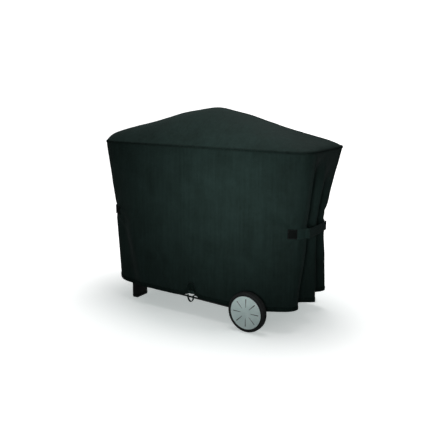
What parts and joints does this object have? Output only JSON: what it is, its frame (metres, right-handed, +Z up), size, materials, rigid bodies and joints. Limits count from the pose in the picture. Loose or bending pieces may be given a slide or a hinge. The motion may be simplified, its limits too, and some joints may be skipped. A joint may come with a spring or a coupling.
{
  "type": "grill cover",
  "caption": "Fitted fabric cover with a peaked top, pleated ends and hook-and-loop straps, worn on a small cart grill with wheels at one end.",
  "frame": {"origin": "on the floor, under the middle of the covered cart", "axes": "+X towards the end with the wheels, -Y towards the front, where the knob and the hem loop are, +Z up"},
  "size_m": [1.2692, 0.618, 1.0743],
  "materials": {
    "cover_cloth": "matt black coated polyester cloth with a faint green cast",
    "strap_webbing": "black woven webbing",
    "hook_and_loop": "fuzzy black hook-and-loop tape",
    "tyre_rubber": "matt black tyre",
    "hub_cap_grey": "pale grey moulded plastic",
    "black_plastic": "satin black moulded plastic",
    "frame_paint": "black powder coat on steel tube",
    "zinc_steel": "bright zinc-plated steel",
    "grill_casting": "dark painted aluminium casting",
    "table_plastic": "dark grey textured plastic",
    "cast_iron": "enamelled cast iron"
  },
  "bodies": {
    "cart": {"left_leg_frame": "frame_paint", "right_leg_frame": "frame_paint", "front_upper_rail": "frame_paint", "back_upper_rail": "frame_paint", "front_lower_rail": "frame_paint", "back_lower_rail": "frame_paint", "left_table_beam": "frame_paint", "right_table_beam": "frame_paint", "front_foot": "black_plastic", "back_foot": "black_plastic", "front_axle_block": "black_plastic", "back_axle_block": "black_plastic", "front_axle_spacer": "black_plastic", "back_axle_spacer": "black_plastic", "axle": "zinc_steel", "firebox": "grill_casting", "lid": "grill_casting", "lid_handle": "black_plastic", "control_panel": "black_plastic", "cooking_grate": "cast_iron", "burner_tube": "zinc_steel", "catch_pan": "zinc_steel", "left_side_table": "table_plastic", "right_side_table": "table_plastic"},
    "cover": {"front_panel": "cover_cloth", "back_panel": "cover_cloth", "front_hem": "cover_cloth", "back_hem": "cover_cloth", "right_gusset": "cover_cloth", "left_gusset": "cover_cloth", "right_gusset_hem": "cover_cloth", "left_gusset_hem": "cover_cloth", "top_panel": "cover_cloth", "shoulder_piping": "cover_cloth", "front_right_seam": "cover_cloth", "front_left_seam": "cover_cloth", "back_right_seam": "cover_cloth", "back_left_seam": "cover_cloth", "right_loop_patch": "hook_and_loop", "left_loop_patch": "hook_and_loop", "right_strap_anchor": "strap_webbing", "left_strap_anchor": "strap_webbing", "hem_loop_tab": "strap_webbing"},
    "right_strap": {"right_strap": "strap_webbing"},
    "right_strap_end": {"right_strap_tail": "strap_webbing", "right_strap_hook": "hook_and_loop"},
    "left_strap": {"left_strap": "strap_webbing"},
    "left_strap_end": {"left_strap_tail": "strap_webbing", "left_strap_hook": "hook_and_loop"},
    "hem_loop": {"hem_loop": "strap_webbing"},
    "front_wheel": {"front_tyre": "tyre_rubber", "front_rim": "black_plastic", "front_hub_cap": "hub_cap_grey"},
    "back_wheel": {"back_tyre": "tyre_rubber", "back_rim": "black_plastic", "back_hub_cap": "hub_cap_grey"},
    "burner_knob": {"burner_knob": "black_plastic"}
  },
  "joints": [
    {"name": "cover_lift", "type": "slide", "parent": "cart", "child": "cover", "axis": [0, 0, 1], "range_m": [0, 1]},
    {"name": "right_strap_swing", "type": "hinge", "parent": "cover", "child": "right_strap", "pos_m": [0.552, 0.185, 0.474], "axis": [0, 0, 1], "range_deg": [0, 100]},
    {"name": "right_strap_peel", "type": "hinge", "parent": "right_strap", "child": "right_strap_end", "pos_m": [0.6025, -0.14, 0.5], "axis": [0, 0, 1], "range_deg": [0, 70]},
    {"name": "left_strap_swing", "type": "hinge", "parent": "cover", "child": "left_strap", "pos_m": [-0.552, 0.185, 0.474], "axis": [0, 0, -1], "range_deg": [0, 100]},
    {"name": "left_strap_peel", "type": "hinge", "parent": "left_strap", "child": "left_strap_end", "pos_m": [-0.6025, -0.14, 0.5], "axis": [0, 0, -1], "range_deg": [0, 70]},
    {"name": "hem_loop_swing", "type": "hinge", "parent": "cover", "child": "hem_loop", "pos_m": [-0.016, -0.2505, 0.1081], "axis": [1, 0, 0], "range_deg": [-75, 75]},
    {"name": "front_wheel_spin", "type": "hinge", "parent": "cart", "child": "front_wheel", "pos_m": [0.352, -0.29, 0.1016], "axis": [0, 1, 0], "continuous": true},
    {"name": "back_wheel_spin", "type": "hinge", "parent": "cart", "child": "back_wheel", "pos_m": [0.352, 0.29, 0.1016], "axis": [0, 1, 0], "continuous": true},
    {"name": "burner_knob_turn", "type": "hinge", "parent": "cart", "child": "burner_knob", "pos_m": [-0.045, -0.1965, 0.847], "axis": [0, 1, 0], "range_deg": [-270, 0]}
  ]
}
